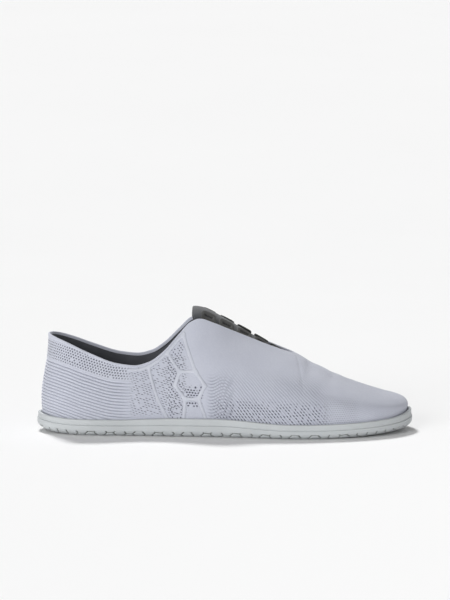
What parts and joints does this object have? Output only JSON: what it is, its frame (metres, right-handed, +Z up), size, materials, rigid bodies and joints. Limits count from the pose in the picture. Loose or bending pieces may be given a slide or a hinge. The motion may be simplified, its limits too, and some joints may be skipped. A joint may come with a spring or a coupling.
{
  "type": "barefoot shoe",
  "caption": "Right barefoot shoe with a thin flexible cup sole, a knitted upper, smooth film strips on its sides and open lace tabs without laces",
  "frame": {"origin": "centre of the sole seen from above, on the plane that the shoe stands on", "axes": "+X from the heel to the toe, +Y to the medial (big toe) side of this right shoe, +Z up"},
  "size_m": [0.28, 0.1062, 0.092],
  "materials": {
    "sole_rubber": "matte moulded rubber",
    "knit_fabric": "matte fine knit",
    "strip_film": "satin film",
    "lining_fabric": "matte",
    "tab_webbing": "matte"
  },
  "bodies": {
    "root": {"outsole": "sole_rubber", "insole": "lining_fabric", "upper": "knit_fabric", "tongue": "lining_fabric", "lace_tabs_lateral": "tab_webbing", "lace_tabs_medial": "tab_webbing", "cage_lateral": "strip_film", "cage_medial": "strip_film"}
  },
  "joints": []
}
